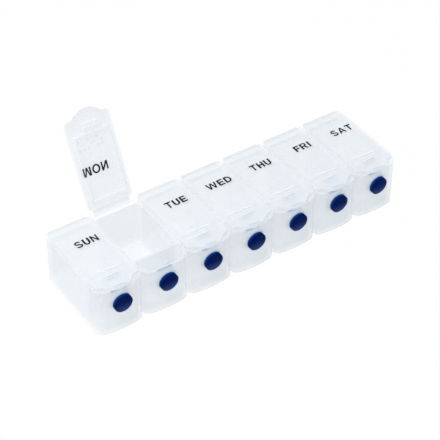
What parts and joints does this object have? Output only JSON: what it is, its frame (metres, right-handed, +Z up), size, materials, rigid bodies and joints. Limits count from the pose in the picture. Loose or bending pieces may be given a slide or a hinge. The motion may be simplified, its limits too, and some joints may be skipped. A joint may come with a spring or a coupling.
{
  "type": "weekly pill organizer",
  "caption": "Free-standing weekly pill organizer: a row of translucent cups with bowed fronts, each with a film-hinged snap lid and a round push button that frees the lid's nose",
  "frame": {"origin": "middle of the tray's flat base", "axes": "+X runs along the row from the first day to the last, +Y from the push buttons to the hinges, +Z up"},
  "size_m": [0.196, 0.083, 0.0795],
  "materials": {
    "tray_plastic": "translucent frosted polypropylene, satin outside",
    "lid_plastic": "translucent polypropylene, satin, with pad-printed day and raised dots",
    "film_plastic": "thin flexed polypropylene, glossier and whiter where it folds",
    "button_plastic": "smooth navy moulded plastic, soft gloss"
  },
  "bodies": {
    "tray": {"tray": "tray_plastic", "hinge_film_sun": "film_plastic", "hinge_film_mon": "film_plastic", "hinge_film_tue": "film_plastic", "hinge_film_wed": "film_plastic", "hinge_film_thu": "film_plastic", "hinge_film_fri": "film_plastic", "hinge_film_sat": "film_plastic", "return_leaf_sun": "tray_plastic", "return_leaf_mon": "tray_plastic", "return_leaf_tue": "tray_plastic", "return_leaf_wed": "tray_plastic", "return_leaf_thu": "tray_plastic", "return_leaf_fri": "tray_plastic", "return_leaf_sat": "tray_plastic"},
    "lid_sun": {"lid_sun": "lid_plastic"},
    "button_sun": {"button_sun": "button_plastic"},
    "lid_mon": {"lid_mon": "lid_plastic"},
    "button_mon": {"button_mon": "button_plastic"},
    "lid_tue": {"lid_tue": "lid_plastic"},
    "button_tue": {"button_tue": "button_plastic"},
    "lid_wed": {"lid_wed": "lid_plastic"},
    "button_wed": {"button_wed": "button_plastic"},
    "lid_thu": {"lid_thu": "lid_plastic"},
    "button_thu": {"button_thu": "button_plastic"},
    "lid_fri": {"lid_fri": "lid_plastic"},
    "button_fri": {"button_fri": "button_plastic"},
    "lid_sat": {"lid_sat": "lid_plastic"},
    "button_sat": {"button_sat": "button_plastic"}
  },
  "joints": [
    {"name": "lid_hinge_sun", "type": "hinge", "parent": "tray", "child": "lid_sun", "pos_m": [-0.084, 0.02995, 0.0297], "axis": [-1, 0, 0], "range_deg": [0, 180], "deforming": ["hinge_film_sun"]},
    {"name": "lid_hinge_mon", "type": "hinge", "parent": "tray", "child": "lid_mon", "pos_m": [-0.056, 0.02995, 0.0297], "axis": [-1, 0, 0], "range_deg": [-118, 62], "stiffness_Nm_per_rad": 0.02, "deforming": ["hinge_film_mon"]},
    {"name": "lid_hinge_tue", "type": "hinge", "parent": "tray", "child": "lid_tue", "pos_m": [-0.028, 0.02995, 0.0297], "axis": [-1, 0, 0], "range_deg": [0, 180], "deforming": ["hinge_film_tue"]},
    {"name": "lid_hinge_wed", "type": "hinge", "parent": "tray", "child": "lid_wed", "pos_m": [0, 0.02995, 0.0297], "axis": [-1, 0, 0], "range_deg": [0, 180], "deforming": ["hinge_film_wed"]},
    {"name": "lid_hinge_thu", "type": "hinge", "parent": "tray", "child": "lid_thu", "pos_m": [0.028, 0.02995, 0.0297], "axis": [-1, 0, 0], "range_deg": [0, 180], "deforming": ["hinge_film_thu"]},
    {"name": "lid_hinge_fri", "type": "hinge", "parent": "tray", "child": "lid_fri", "pos_m": [0.056, 0.02995, 0.0297], "axis": [-1, 0, 0], "range_deg": [0, 180], "deforming": ["hinge_film_fri"]},
    {"name": "lid_hinge_sat", "type": "hinge", "parent": "tray", "child": "lid_sat", "pos_m": [0.084, 0.02995, 0.0297], "axis": [-1, 0, 0], "range_deg": [0, 180], "deforming": ["hinge_film_sat"]},
    {"name": "button_press_sun", "type": "slide", "parent": "tray", "child": "button_sun", "axis": [0, 1, 0], "range_m": [0, 0.0025], "stiffness_N_per_m": 400, "deforming": ["return_leaf_sun"]},
    {"name": "button_press_mon", "type": "slide", "parent": "tray", "child": "button_mon", "axis": [0, 1, 0], "range_m": [0, 0.0025], "stiffness_N_per_m": 400, "deforming": ["return_leaf_mon"]},
    {"name": "button_press_tue", "type": "slide", "parent": "tray", "child": "button_tue", "axis": [0, 1, 0], "range_m": [0, 0.0025], "stiffness_N_per_m": 400, "deforming": ["return_leaf_tue"]},
    {"name": "button_press_wed", "type": "slide", "parent": "tray", "child": "button_wed", "axis": [0, 1, 0], "range_m": [0, 0.0025], "stiffness_N_per_m": 400, "deforming": ["return_leaf_wed"]},
    {"name": "button_press_thu", "type": "slide", "parent": "tray", "child": "button_thu", "axis": [0, 1, 0], "range_m": [0, 0.0025], "stiffness_N_per_m": 400, "deforming": ["return_leaf_thu"]},
    {"name": "button_press_fri", "type": "slide", "parent": "tray", "child": "button_fri", "axis": [0, 1, 0], "range_m": [0, 0.0025], "stiffness_N_per_m": 400, "deforming": ["return_leaf_fri"]},
    {"name": "button_press_sat", "type": "slide", "parent": "tray", "child": "button_sat", "axis": [0, 1, 0], "range_m": [0, 0.0025], "stiffness_N_per_m": 400, "deforming": ["return_leaf_sat"]}
  ]
}
